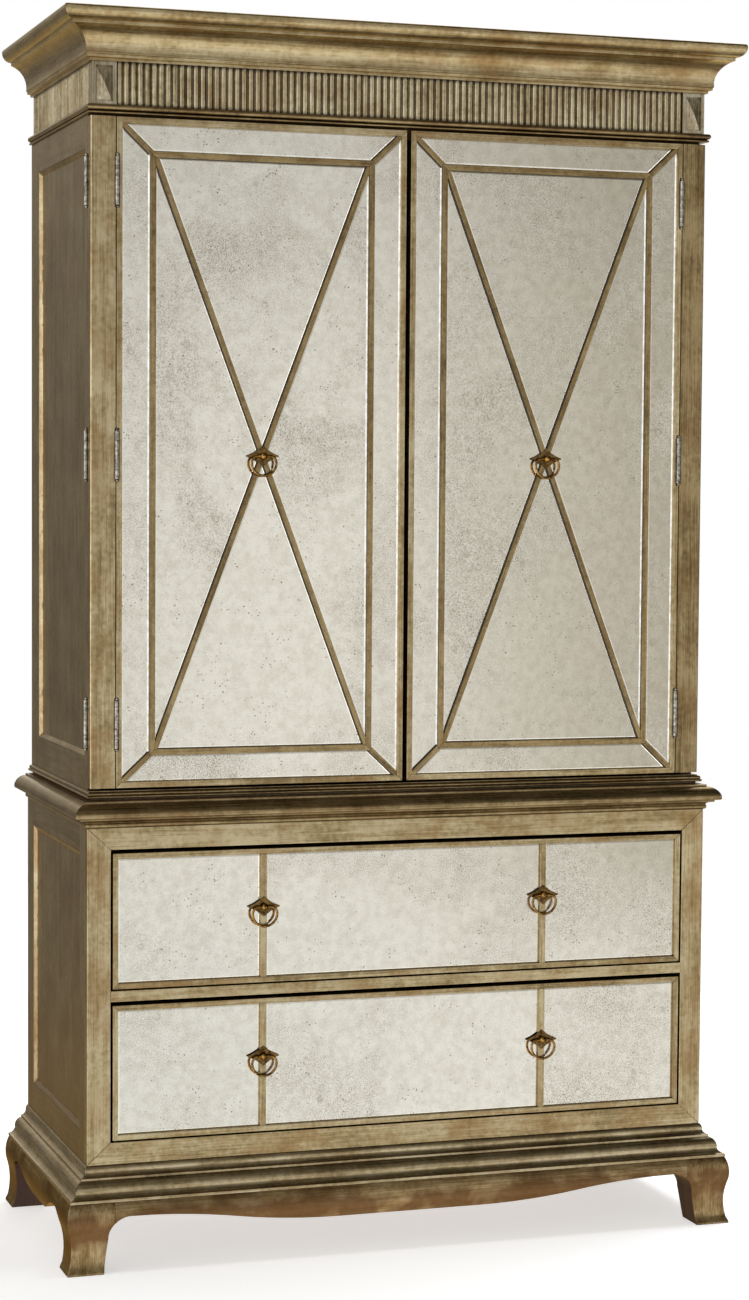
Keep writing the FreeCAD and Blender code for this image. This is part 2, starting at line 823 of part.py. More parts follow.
def leaves(axis, plate_x, plate_y, own):
    return [hinge_leaf(axis, plate_x, plate_y, level, own) for level in hinge_levels]


leaf_thickness = 0.8
thin_leaf = 0.6
outer_leaf_x = (-outer_axis[0] + outer_leaf_start, -outer_axis[0] + leaf_reach)
inner_leaf_y = (inner_axis[1] + inner_leaf_start, inner_axis[1] + leaf_reach)
end_knuckles = (0, 2, 4)
mid_knuckles = (1, 3)


def case_hinges():
    """Leaves on the cabinet's sides and the pins that they hold."""
    plate_y = (case_edge - leaf_thickness, case_edge)
    left = leaves(outer_axis, outer_leaf_x, plate_y, end_knuckles)
    return both_sides(left + hinge_pins(outer_axis))


def pilaster_hinges():
    """Leaves on the post's back, leaves on its edge beside the door, and their pins."""
    plate_y = (pilaster_back, pilaster_back + leaf_thickness)
    plate_x = (-pilaster_inner, -pilaster_inner + thin_leaf)
    return (leaves(outer_axis, outer_leaf_x, plate_y, mid_knuckles)
            + leaves(inner_axis, plate_x, inner_leaf_y, end_knuckles)
            + hinge_pins(inner_axis))


def door_hinge_leaves():
    plate_x = (-door_outer - thin_leaf, -door_outer)
    return leaves(inner_axis, plate_x, inner_leaf_y, mid_knuckles)


# --- Doors --------------------------------------------------------------------------
glass_left, glass_right = -door_outer + door_border, -door_inner - door_border
glass_low, glass_high = door_bottom + door_border, door_top - door_border
lattice_left, lattice_right = -door_outer + lattice_inset_x, -door_inner - lattice_inset_x
lattice_low, lattice_high = door_bottom + lattice_inset_z, door_top - lattice_inset_z
glass_bed = upper_front + glass_sunk + glass_thickness


def door_corners():
    """Corners of the glass opening, the lattice rectangle outside and inside its strips."""
    w = strip_width

    def corners(x0, x1, z0, z1):
        return [(x0, z0), (x1, z0), (x1, z1), (x0, z1)]

    return (corners(glass_left, glass_right, glass_low, glass_high),
            corners(lattice_left, lattice_right, lattice_low, lattice_high),
            corners(lattice_left + w, lattice_right - w, lattice_low + w, lattice_high - w))


def door_frame():
    """Mitred border of the left door, with room for the hinge barrels."""
    bars = rectangle_frame(-door_outer, -door_inner, door_bottom, door_top,
                           door_border, door_border, upper_front, pilaster_back)
    hinge_bar = bars.pop()
    return bars + [hinge_bar.cut(hinge_gains(inner_axis))]


def door_panel():
    return [box(glass_left, glass_right, glass_bed, pilaster_back, glass_low, glass_high)]


def door_lattice():
    """Inner rectangle, four corner strips to the border and two crossed diagonals."""
    glass, outer, inner = door_corners()
    y0, y1 = upper_front, glass_bed
    pieces = rectangle_frame(lattice_left, lattice_right, lattice_low, lattice_high,
                             strip_width, strip_width, y0, y1)
    middle = box(lattice_left, lattice_right, y0, y1, lattice_low, lattice_high)
    for start, end in zip(glass, outer):
        strip = rectangle(glass_left, glass_right, glass_low, glass_high)
        strip += bar_between(start, end, diagonal_width)
        strip.append(left_of(*square_end(start, end)))
        pieces.append(face_prism(strip, y0, y1).cut(middle))
    field = rectangle(inner[0][0], inner[2][0], inner[0][1], inner[2][1])
    rising = bar_between(inner[0], inner[2], diagonal_width)
    falling = bar_between(inner[3], inner[1], diagonal_width)
    pieces.append(face_prism(field + rising, y0, y1))
    for side in ((inner[0], inner[2]), (inner[2], inner[0])):
        half = field + falling + [left_of(*side, diagonal_width / 2)]
        pieces.append(face_prism(half, y0, y1))
    return pieces


def square_end(start, end):
    """Line across a corner strip, one strip width past its end."""
    du, dv = end[0] - start[0], end[1] - start[1]
    length = math.hypot(du, dv)
    past = (end[0] + strip_width * du / length, end[1] + strip_width * dv / length)
    return past, (past[0] - dv, past[1] + du)


def door_mirrors():
    """Four border panes and four triangular panes."""
    glass, outer, inner = door_corners()
    gap = diagonal_width / 2
    centre = ((inner[0][0] + inner[2][0]) / 2, (inner[0][1] + inner[2][1]) / 2)
    face_y = upper_front + glass_sunk
    panes = []
    for index in range(4):
        after = (index + 1) % 4
        border = [left_of(glass[index], glass[after]), left_of(outer[after], outer[index]),
                  left_of(outer[index], glass[index], gap),
                  left_of(glass[after], outer[after], gap)]
        triangle = [left_of(inner[index], inner[after]),
                    left_of(inner[after], centre, gap), left_of(centre, inner[index], gap)]
        panes.append(glass_pane(border, face_y))
        panes.append(glass_pane(triangle, face_y))
    return panes


def door_pull_height():
    return (door_bottom + door_top) / 2


# --- Writing the sub-parts ----------------------------------------------------------
def save(name, solids):
    """Write one sub-part's solids to its own STEP file."""
    shape = solids[0] if len(solids) == 1 else Part.makeCompound(solids)
    if not shape.isValid():
        raise ValueError("this sub-part is not valid: " + name)
    shape.exportStep(os.path.join("parts", name + ".step"))


def save_pair(name, solids):
    """Write a left sub-part and its mirror image on the right."""
    save(name + "_left", solids)
    save(name + "_right", [mirror_x(solid) for solid in solids])


def save_drawer(name, low):
    save("drawer_box_" + name, drawer_box(low))
    save("drawer_front_" + name, drawer_front(low))
    save("drawer_mirrors_" + name, drawer_mirrors(low))
    height = drawer_pull_height(low)
    left_pull = pull(-muntin_centre, height, lower_front)
    right_pull = pull(muntin_centre, height, lower_front)
    save("drawer_pulls_" + name, left_pull + right_pull)
    save("drawer_ring_" + name + "_left", ring(-muntin_centre, height, lower_front))
    save("drawer_ring_" + name + "_right", ring(muntin_centre, height, lower_front))


def main():
    os.makedirs("parts", exist_ok=True)
    save("front_feet", front_feet())
    save("back_feet", back_feet())
    save("aprons", aprons())
    save("base_moulding", base_moulding())
    save_pair("lower_side_frame", lower_side_frame())
    save("lower_side_panels", both_sides([side_panel(lower_half, lower_opening)]))
    save("face_frame", face_frame())
    save("drawer_rails", drawer_rails())
    save("drawer_runners", drawer_runners())
    save("lower_bottom_board", lower_bottom_board())
    save("lower_back_panel", lower_back_panel())
    save("lower_top_board", lower_top_board())
    save("waist_moulding", waist_moulding())
    for name, low in zip(("lower", "upper"), drawer_openings()):
        save_drawer(name, low)
    save("upper_base_moulding", upper_base_moulding())
    save("upper_bottom_board", upper_bottom_board())
    save_pair("upper_side_frame", upper_side_frame())
    save("upper_side_panels", both_sides([side_panel(upper_half, upper_opening)]))
    save("upper_back_panel", upper_back_panel())
    save("upper_top_board", upper_top_board())
    save("hat_shelf", hat_shelf())
    save("clothes_rod", clothes_rod())
    save("rod_sockets", rod_sockets())
    save("frieze_boards", frieze_boards())
    save("frieze_reeding", frieze_reeding())
    save("frieze_corner_blocks", frieze_corner_blocks())
    save("frieze_bead", frieze_bead())
    save("cornice", cornice())
    save("case_hinges", case_hinges())
    save_pair("pilaster", pilaster())
    save_pair("pilaster_hinges", pilaster_hinges())
    save_pair("door_hinge_leaves", door_hinge_leaves())
    save_pair("door_frame", door_frame())
    save_pair("door_panel", door_panel())
    save_pair("door_lattice", door_lattice())
    save_pair("door_mirrors", door_mirrors())
    for side, centre_x in (("left", -pull_centre_x), ("right", pull_centre_x)):
        save("door_pull_" + side, pull(centre_x, door_pull_height(), upper_front))
        save("door_ring_" + side, ring(centre_x, door_pull_height(), upper_front))


main()
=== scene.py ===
"""Looks of the two-stage mirrored armoire: aged champagne leaf, antique mirrors, brass pulls.

Lengths are in metres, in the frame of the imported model: +X right, -Y front, +Z up.
Angles are written in degrees, and colours as web colours such as 9c8a62.
"""

import json
import math
import random

import bmesh
import bpy
from mathutils import Matrix, Vector

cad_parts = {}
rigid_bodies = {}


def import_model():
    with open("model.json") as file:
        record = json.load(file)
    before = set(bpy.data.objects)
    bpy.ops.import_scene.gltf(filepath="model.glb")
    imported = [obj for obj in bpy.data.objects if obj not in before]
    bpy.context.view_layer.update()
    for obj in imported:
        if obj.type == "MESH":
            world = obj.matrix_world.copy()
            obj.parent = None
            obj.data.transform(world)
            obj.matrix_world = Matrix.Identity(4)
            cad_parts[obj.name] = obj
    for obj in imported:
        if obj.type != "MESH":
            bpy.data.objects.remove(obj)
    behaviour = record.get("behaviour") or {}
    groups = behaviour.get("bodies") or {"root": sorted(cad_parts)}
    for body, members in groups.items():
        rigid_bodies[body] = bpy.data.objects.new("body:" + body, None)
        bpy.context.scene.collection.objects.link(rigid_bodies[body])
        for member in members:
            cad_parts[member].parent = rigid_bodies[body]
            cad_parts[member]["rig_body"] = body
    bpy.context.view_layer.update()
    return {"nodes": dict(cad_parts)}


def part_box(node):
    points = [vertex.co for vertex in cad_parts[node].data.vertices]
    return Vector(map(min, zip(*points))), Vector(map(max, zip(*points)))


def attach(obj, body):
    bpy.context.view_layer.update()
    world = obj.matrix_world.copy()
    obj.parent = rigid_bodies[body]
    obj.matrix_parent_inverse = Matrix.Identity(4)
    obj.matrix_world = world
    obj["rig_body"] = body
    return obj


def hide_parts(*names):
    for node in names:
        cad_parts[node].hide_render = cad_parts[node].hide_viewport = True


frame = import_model()
scene = bpy.context.scene

MM = 0.001
SIDES = ("left", "right")
LEVELS = ("upper", "lower")


# --- Shader node helpers ------------------------------------------------------------
def colour(code):
    """Linear RGBA of a web colour."""
    parts = [int(code[i:i + 2], 16) / 255 for i in (0, 2, 4)]
    return [p / 12.92 if p <= 0.04045 else ((p + 0.055) / 1.055) ** 2.4 for p in parts] + [1.0]


def grey(value):
    return (value, value, value, 1.0)


def put(tree, kind, values=None, **settings):
    """Add a node, change its settings, and link or set its inputs."""
    made = tree.nodes.new(kind)
    for name, value in settings.items():
        setattr(made, name, value)
    for name, value in (values or {}).items():
        socket = made.inputs[name]
        if isinstance(value, bpy.types.NodeSocket):
            tree.links.new(value, socket)
        else:
            socket.default_value = value
    return made


def math_node(tree, operation, *values):
    return put(tree, "ShaderNodeMath", dict(enumerate(values)), operation=operation).outputs[0]


def product(tree, first, second):
    return math_node(tree, "MULTIPLY", first, second)


def weighted_sum(tree, *parts):
    """Sum of parts, each a value and its weight."""
    total = 0.0
    for value, weight in parts:
        total = math_node(tree, "ADD", total, product(tree, value, weight))
    return total


def remap(tree, value, low, high, to_low=0.0, to_high=1.0):
    """Value from low..high stretched to to_low..to_high, held at the ends."""
    return put(tree, "ShaderNodeMapRange", {"Value": value, "From Min": low, "From Max": high,
                                            "To Min": to_low, "To Max": to_high}).outputs[0]


def ramp(tree, factor, *stops):
    """Colour ramp with stops of (position, colour)."""
    made = put(tree, "ShaderNodeValToRGB", {"Fac": factor})
    elements = made.color_ramp.elements
    while len(elements) < len(stops):
        elements.new(0.5)
    for element, (position, value) in zip(elements, stops):
        element.position = position
        element.color = value
    return made.outputs[0]


def mixed(tree, factor, first, second, blend="MIX"):
    """Colour mix of two colours or colour sockets."""
    factor_input, first_input, second_input, colour_output = 0, 6, 7, 2
    made = put(tree, "ShaderNodeMix",
               {factor_input: factor, first_input: first, second_input: second},
               data_type="RGBA", blend_type=blend)
    return made.outputs[colour_output]


def noise(tree, place, scale, detail=3.0, roughness=0.5, distortion=0.0):
    """Noise from about 0.3 to 0.7; scale is close to its number of waves in a metre."""
    return put(tree, "ShaderNodeTexNoise",
               {"Vector": place, "Scale": scale, "Detail": detail, "Roughness": roughness,
                "Distortion": distortion}).outputs[0]


def brushed(tree, grain, along, across, detail=3.0, roughness=0.5, distortion=0.0):
    """Noise drawn out along the board, with its own scales along and across it."""
    drawn = put(tree, "ShaderNodeMapping", {"Vector": grain, "Scale": (along, across, across)},
                vector_type="POINT").outputs[0]
    return noise(tree, drawn, 1.0, detail, roughness, distortion)


def random_cells(tree, place, scale, unpicked, picked):
    """Distance to the middle of the nearest random cell, and whether that cell is picked.

    Of the cells' random numbers, those up to unpicked give 0 and those from picked give 1.
    """
    cells = put(tree, "ShaderNodeTexVoronoi", {"Vector": place, "Scale": scale})
    number = put(tree, "ShaderNodeSeparateColor", {0: cells.outputs["Color"]}).outputs[0]
    return cells.outputs["Distance"], remap(tree, number, unpicked, picked)


def grain_coordinates(tree):
    """Coordinates of a piece's own board: X along it, Y and Z across it."""
    return put(tree, "ShaderNodeAttribute", attribute_name="grain").outputs["Vector"]


def board_tone(tree):
    """One number per board, from 0 to 1."""
    return put(tree, "ShaderNodeAttribute", attribute_name="tone").outputs["Fac"]


def object_coordinates(tree):
    return put(tree, "ShaderNodeTexCoord").outputs["Object"]


def height_above_floor(tree):
    return put(tree, "ShaderNodeSeparateXYZ", {0: object_coordinates(tree)}).outputs[2]


def occluded(tree, distance, inside):
    """Share of directions, out of the surface or into it, that meet a face within a distance."""
    clear = put(tree, "ShaderNodeAmbientOcclusion", {"Distance": distance},
                samples=6, inside=inside).outputs["AO"]
    return math_node(tree, "SUBTRACT", 1.0, clear)


def crevice(tree, distance):
    """1 in corners and grooves, 0 in the open."""
    return occluded(tree, distance, inside=False)


def outer_edge(tree, distance):
    """1 on outer edges, 0 on flat faces."""
    return occluded(tree, distance, inside=True)


def bump(tree, height, strength, distance):
    return put(tree, "ShaderNodeBump", {"Height": height, "Strength": strength,
                                        "Distance": distance}).outputs[0]


def new_tree(owner):
    """Empty node tree of a new material or world."""
    owner.use_nodes = True
    owner.node_tree.nodes.clear()
    return owner.node_tree


def material(name, build, fixed):
    """Material whose build(tree) returns linked sockets; fixed ones are set on the shader."""
    made = bpy.data.materials.new(name)
    tree = new_tree(made)
    shader = put(tree, "ShaderNodeBsdfPrincipled", {**fixed, **build(tree)})
    put(tree, "ShaderNodeOutputMaterial", {"Surface": shader.outputs[0]})
    return made


# --- Materials ----------------------------------------------------------------------
# Height of the highest of a leaf's warm_levels, at most.
WARM_REACH = 0.8
# Brown of the glazing in corners and between parts, which also paints the shade there.
CORNER_GLAZE_AND_SHADE = colour("1d150c")
RUBBED_EDGE = colour("3c2917")
METAL_GRIME = colour("1b150c")
MIRROR_HAZE, MIRROR_CLOUD = colour("d2cdbd"), colour("968d7a")
MIRROR_SPECK, MIRROR_RING = colour("6a5a41"), colour("8a8068")


def warm_patches(tree, grain, warm_levels, warm_share):
    """Patches of the ground, larger where warm_levels adds to them."""
    patches = noise(tree, grain, scale=12.0, distortion=0.3)
    if warm_levels:
        height = remap(tree, height_above_floor(tree), 0.0, WARM_REACH)
        extra = ramp(tree, height, *((z / WARM_REACH, grey(more)) for z, more in warm_levels))
        patches = math_node(tree, "ADD", patches, extra)
    return remap(tree, patches, 0.46, 0.70, 0.0, warm_share)


def rubbed_edges(tree, grain):
    """Stretches of the outer edges where the leaf is rubbed off."""
    edges = remap(tree, outer_edge(tree, 2 * MM), 0.3, 0.6)
    stretches = remap(tree, noise(tree, grain, scale=45.0, detail=4.0, roughness=0.6), 0.54, 0.62)
    return product(tree, product(tree, edges, stretches), 0.7)


def leaf(name, light, middle, dark, warm, warm_share=0.5, warm_levels=(),
         glaze_shade_range=(0.26, 0.72), tint="f4ecdc", coat=0.4):
    """Lacquered champagne leaf, brushed along the board, with brown glazing and painted shade in
    its corners and between parts.

    The ground shows through in patches of the warm colour. Each of warm_levels is a height
    above the floor and how much is added to the patches there. The glazing, and the shade
    painted with it, start and are full where corners are as closed in as glaze_shade_range
    says, from 0 to 1.
    """
    def build(tree):
        grain = grain_coordinates(tree)
        streaks = brushed(tree, grain, 9.0, 420.0, detail=5.0, roughness=0.6, distortion=0.3)
        strokes = brushed(tree, grain, 4.0, 60.0, distortion=0.5)
        clouds = noise(tree, grain, scale=14.0, detail=4.0, distortion=0.2)
        mottle = noise(tree, grain, scale=110.0, detail=4.0, roughness=0.6)
        body = weighted_sum(tree, (streaks, 0.30), (strokes, 0.22), (clouds, 0.24),
                            (mottle, 0.24), (board_tone(tree), 0.04))
        paint = ramp(tree, body, (0.42, colour(dark)), (0.50, colour(middle)),
                     (0.58, colour(light)))
        paint = mixed(tree, warm_patches(tree, grain, warm_levels, warm_share), paint,
                      colour(warm))
        # Painted shade: corners and joints closed in within 7 mm take the dark brown, both as
        # glazing and as the shade that falls there.
        glaze_and_shade = remap(tree, crevice(tree, 7 * MM), *glaze_shade_range, 0.0, 0.95)
        paint = mixed(tree, glaze_and_shade, paint, CORNER_GLAZE_AND_SHADE)
        paint = mixed(tree, rubbed_edges(tree, grain), paint, RUBBED_EDGE)
        worn = weighted_sum(tree, (streaks, 1.0), (glaze_and_shade, 0.5))
        relief = weighted_sum(tree, (streaks, 1.0), (mottle, 0.6))
        return {"Base Color": paint, "Roughness": remap(tree, worn, 0.3, 0.9, 0.20, 0.44),
                "Normal": bump(tree, relief, 0.10, 0.3 * MM)}

    return material(name, build, {"Metallic": 0.96, "Specular IOR Level": 0.4,
                                  "Specular Tint": colour(tint), "Coat Weight": coat,
                                  "Coat Roughness": 0.16})


def stained_wood(name, light, dark):
    """Plain boards with straight grain and a satin finish."""
    def build(tree):
        grain = grain_coordinates(tree)
        rings = brushed(tree, grain, 1.6, 26.0, detail=4.0, roughness=0.55, distortion=1.2)
        fibres = brushed(tree, grain, 14.0, 420.0, detail=4.0, roughness=0.6)
        body = weighted_sum(tree, (rings, 0.65), (fibres, 0.35), (board_tone(tree), 0.08))
        paint = ramp(tree, body, (0.36, colour(dark)), (0.62, colour(light)))
        return {"Base Color": paint, "Roughness": remap(tree, fibres, 0.3, 0.7, 0.42, 0.58),
                "Normal": bump(tree, fibres, 0.2, 0.3 * MM)}

    return material(name, build, {"Specular IOR Level": 0.35})


def mirror_specks(tree, place):
    """Small brown specks, in groups."""
    distance, picked = random_cells(tree, place, 190.0, 0.6, 0.7)
    groups = remap(tree, noise(tree, place, scale=22.0, roughness=0.6), 0.50, 0.64)
    return product(tree, remap(tree, distance, 0.35, 0.15), product(tree, groups, picked))


def mirror_rings(tree, place, cloud):
    """Faint uneven rings, mostly in the clouds."""
    wander = put(tree, "ShaderNodeTexNoise", {"Vector": place, "Scale": 70.0})
    wander = put(tree, "ShaderNodeVectorMath",
                 {0: wander.outputs["Color"], 1: (12 * MM,) * 3}, operation="MULTIPLY").outputs[0]
    uneven = put(tree, "ShaderNodeVectorMath", {0: place, 1: wander}).outputs[0]
    distance, picked = random_cells(tree, uneven, 34.0, 0.78, 0.84)
    radius, half_width = 0.2, 0.08
    off_ring = math_node(tree, "ABSOLUTE", math_node(tree, "SUBTRACT", distance, radius))
    ring = remap(tree, off_ring, half_width, 0.0)
    spread = math_node(tree, "MULTIPLY_ADD", cloud, 0.75, 0.25)
    return product(tree, product(tree, ring, picked), spread)


def antique_mirror(name, silver):
    """Silvered glass with grey clouds, brown specks and faint rings where it has turned."""
    def build(tree):
        place = grain_coordinates(tree)
        clouds = noise(tree, place, scale=3.6, detail=5.0, roughness=0.6, distortion=0.4)
        haze = noise(tree, place, scale=60.0, detail=5.0, roughness=0.65)
        fine = noise(tree, place, scale=420.0, roughness=0.7)
        cloud = remap(tree, clouds, 0.46, 0.68)
        grain = product(tree, math_node(tree, "MULTIPLY_ADD", cloud, 0.8, 0.2),
                        remap(tree, fine, 0.46, 0.64))
        speck = mirror_specks(tree, place)
        paint = mixed(tree, remap(tree, haze, 0.40, 0.66, 0.0, 0.5), colour(silver), MIRROR_HAZE)
        paint = mixed(tree, product(tree, grain, 0.9), paint, MIRROR_CLOUD)
        paint = mixed(tree, product(tree, speck, 0.8), paint, MIRROR_SPECK)
        paint = mixed(tree, product(tree, mirror_rings(tree, place, cloud), 0.5), paint,
                      MIRROR_RING)
        worn = math_node(tree, "ADD", product(tree, cloud, fine), speck)
        return {"Base Color": paint, "Roughness": remap(tree, worn, 0.0, 0.9, 0.10, 0.36),
                "Normal": bump(tree, clouds, 0.03, 2 * MM)}

    return material(name, build, {"Metallic": 1.0})


def glowing_pane_edge(name):
    """Slope at the edge of a pane, painted white and glowing along its length: a painted
    highlight standing in for a bright reflection.
    """
    def build(tree):
        glow_mottle = noise(tree, grain_coordinates(tree), scale=90.0, detail=4.0, roughness=0.6)
        white = mixed(tree, remap(tree, glow_mottle, 0.38, 0.62), colour("ffffff"), colour("dedacd"))
        return {"Base Color": white, "Emission Color": white}

    return material(name, build, {"Metallic": 0.0, "Roughness": 0.3, "Emission Strength": 0.55})


def aged_metal(name, bright, dark, roughness):
    """Metal with a mottled patina, darker in its corners."""
    def build(tree):
        place = object_coordinates(tree)
        patina = noise(tree, place, scale=160.0, detail=5.0, roughness=0.65)
        scuffs = noise(tree, place, scale=900.0, roughness=0.6)
        paint = ramp(tree, patina, (0.36, colour(dark)), (0.6, colour(bright)))
        grime = remap(tree, crevice(tree, 4 * MM), 0.4, 0.9, 0.0, 0.85)
        return {"Base Color": mixed(tree, grime, paint, METAL_GRIME),
                "Roughness": remap(tree, scuffs, 0.3, 0.7, roughness, roughness + 0.18),
                "Normal": bump(tree, scuffs, 0.12, 0.2 * MM)}

    return material(name, build, {"Metallic": 1.0})


LEAF = leaf("champagne_leaf", "cabb95", "ac986e", "826f4a", "936a36")
# Darker copy of the leaf, whose glazing and painted shade reach further out of the corners. On
# the right post it is painted shade.
DARK_SHADED_LEAF = leaf("champagne_leaf_dark_shaded", "ab976f", "8b7650", "5f4e31", "7a5930",
                   glaze_shade_range=(0.2, 0.65))
PALE_LEAF = leaf("champagne_leaf_pale", "d0c7b0", "b1a58a", "83765b", "96794f", warm_share=0.3)
# The reeds' low glazing range lays dark brown deep into the valleys between them: painted shade.
REED_LEAF = leaf("champagne_leaf_reeds", "cabd9a", "a4946d", "6d5c3c", "866439",
                 glaze_shade_range=(0.1, 0.42), coat=0.7)
# Slightly darker copy of the leaf for the sides: painted shade for faces turned away from the
# light. Its warm patches grow towards the floor.
SHADED_SIDE_LEAF = leaf("champagne_leaf_side", "bbaa86", "a38e66", "806d49", "8a5f35",
                 warm_levels=((0.1, 0.3), (0.22, 0.3), (0.34, 0.16), (0.5, 0.02), (0.8, 0.0)))
BASE_LEAF = leaf("champagne_leaf_base", "c8ba9a", "ac9b76", "7f6e4f", "8f6b40", warm_share=0.45)
FOOT_LEAF = leaf("champagne_leaf_low", "c2ac82", "a58b60", "846943", "62411f",
                 warm_share=0.85, tint="e9cfa4", coat=0.2,
                 warm_levels=((0.0, 0.0), (0.025, 0.0), (0.042, 0.12), (0.06, 0.3),
                              (0.095, 0.26), (0.11, 0.02), (0.125, 0.0), (0.2, 0.1)))
STRIP_LEAF = leaf("bronze_leaf", "ae986b", "937d53", "6a5733", "7f6236")
# Near-black brown for the sides of the lattice strips: painted shade.
SHADED_FLANK = stained_wood("strip_side_painted_shade", "3a2b18", "1c140b")
# Dark brown for the feet's inner sides and undersides: partly the stain of unfinished backs,
# partly painted shade where the floor lets light through.
UNDERSIDE_SHADE = stained_wood("dark_stain_and_shade", "4a2c1c", "26140c")
INSIDE = stained_wood("inside_wood", "8a6a45", "5a4027")
MIRROR = antique_mirror("antique_mirror", "f4f1e6")
PAINTED_EDGE_HIGHLIGHT = glowing_pane_edge("pane_edge_painted_highlight")
BRASS = aged_metal("antique_brass", "ac8447", "513515", 0.12)
PLATE = aged_metal("antique_brass_plate", "84693f", "3f2d17", 0.2)
STEEL = aged_metal("hinge_steel", "b5b1a8", "5c5850", 0.26)
RAIL = aged_metal("rod_steel", "c9c8c4", "a3a29e", 0.22)


# --- Pieces made from the solids of a node -----------------------------------------
# Points that agree to this many decimals are one, and faces closer to level with each
# other than this angle are joined.
WELD_DIGITS = 6
FLAT_ANGLE = 0.3


def closed_solids(node):
    """Welded triangle lists of a node's solids, which follow each other in its mesh.

    A solid is complete when each of its edges has been met an even number of times.
    """
    mesh = frame["nodes"][node].data
    points = [tuple(round(c, WELD_DIGITS) for c in vertex.co) for vertex in mesh.vertices]
    solids, faces, open_edges = [], [], set()
    for polygon in mesh.polygons:
        corners = [points[i] for i in polygon.vertices]
        if len(set(corners)) == len(corners):
            faces.append(corners)
            for index, corner in enumerate(corners):
                open_edges ^= {frozenset((corners[index - 1], corner))}
        if faces and not open_edges:
            solids.append(faces)
            faces = []
    return solids + ([faces] if faces else [])


def long_axis(bm):
    """Direction of the longest edge, which runs along the board."""
    longest = max(bm.edges, key=lambda edge: edge.calc_length())
    return (longest.verts[1].co - longest.verts[0].co).normalized()


def board_frame(axis):
    """Rotation that brings a board's long axis to X."""
    side = Vector((0, 0, 1)) if abs(axis.z) < 0.9 else Vector((0, 1, 0))
    across = axis.cross(side).normalized()
    return Matrix((axis, across, axis.cross(across)))


def solid_mesh(faces, bevel, sharp_angle):
    """Mesh of one solid with its flat faces joined up and its sharp edges eased."""
    bm = bmesh.new()
    verts = {corner: bm.verts.new(corner) for corner in dict.fromkeys(sum(faces, []))}
    for corners in faces:
        bm.faces.new([verts[corner] for corner in corners])
    bmesh.ops.recalc_face_normals(bm, faces=bm.faces)
    bmesh.ops.dissolve_limit(bm, angle_limit=math.radians(FLAT_ANGLE), verts=bm.verts,
                             edges=bm.edges)
    if bevel:
        sharp = [edge for edge in bm.edges
                 if edge.is_manifold and edge.calc_face_angle() > math.radians(sharp_angle)]
        bmesh.ops.bevel(bm, geom=sharp, offset=bevel, offset_type="OFFSET", segments=2,
                        profile=0.5, affect="EDGES", clamp_overlap=True)
    return bm


def append_solid(whole, part, turn, shift, tone, is_second):
    """Join a solid to the piece's mesh, with its grain, tone and second material."""
    grain = whole.verts.layers.float_vector.get("grain")
    tones = whole.verts.layers.float.get("tone")
    copies = {}
    for vert in part.verts:
        copy = whole.verts.new(vert.co)
        copy[grain] = turn @ vert.co + shift
        copy[tones] = tone
        copies[vert] = copy
    for face in part.faces:
        copy = whole.faces.new([copies[v] for v in face.verts])
        copy.smooth = True
        copy.material_index = int(is_second(face))


def no_face(_face):
    return False


def flank(face):
    """Side of a strip, square to the door's face."""
    return abs(face.normal.y) < 0.4


def right_bevel(face):
    """Slope along an upright right-hand edge of a pane."""
    return face.normal.x > 0.1 and face.normal.y < -0.9 and abs(face.normal.z) < 0.02


def inner_side(face):
    """Side of a foot that looks to the middle of the armoire or to the floor."""
    middle = face.calc_center_median()
    inward = max(-face.normal.x * math.copysign(1, middle.x),
                 -face.normal.y * math.copysign(1, middle.y))
    return inward > 0.8 or face.normal.z < -0.9


def finished(node, looks, bevel=0.0, axis=None, sharp_angle=24.0, smooth_angle=42.0,
             is_second=no_face, second_looks=None):
    """Piece that stands for a node: its solids with eased edges and grain along each.

    The grain runs along axis, or else along a solid's longest edge. The faces that
    is_second picks have the second looks.
    """
    draw = random.Random(node)
    whole = bmesh.new()
    whole.verts.layers.float_vector.new("grain")
    whole.verts.layers.float.new("tone")
    for faces in closed_solids(node):
        part = solid_mesh(faces, bevel, sharp_angle)
        turn = board_frame(Vector(axis) if axis else long_axis(part))
        shift = Vector([draw.uniform(-9, 9) for _ in range(3)])
        append_solid(whole, part, turn, shift, draw.random(), is_second)
        part.free()
    mesh = bpy.data.meshes.new(node + "_piece")
    whole.to_mesh(mesh)
    whole.free()
    mesh.set_sharp_from_angle(angle=math.radians(smooth_angle))
    mesh.materials.append(looks)
    if second_looks:
        mesh.materials.append(second_looks)
    piece = bpy.data.objects.new(node + "_piece", mesh)
    scene.collection.objects.link(piece)
    piece.modifiers.new("even_shading", "WEIGHTED_NORMAL").keep_sharp = True
    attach(piece, frame["nodes"][node]["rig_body"])
    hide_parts(node)


def dress(node, looks):
    """Give a node that keeps its CAD shape its material."""
    mesh = frame["nodes"][node].data
    mesh.materials.clear()
    mesh.materials.append(looks)


# --- The armoire --------------------------------------------------------------------
ALONG_X, ALONG_Z = (1, 0, 0), (0, 0, 1)
MOULDING_EDGES = {"bevel": 0.5 * MM, "sharp_angle": 30.0}
SIDE_EDGES = {"bevel": 0.7 * MM, "smooth_angle": 24.0}
# A ball starts where the faces of a pull are this far in front of its plate.
PLATE_THICKNESS, PLATE_MARGIN = 2 * MM, 0.1 * MM


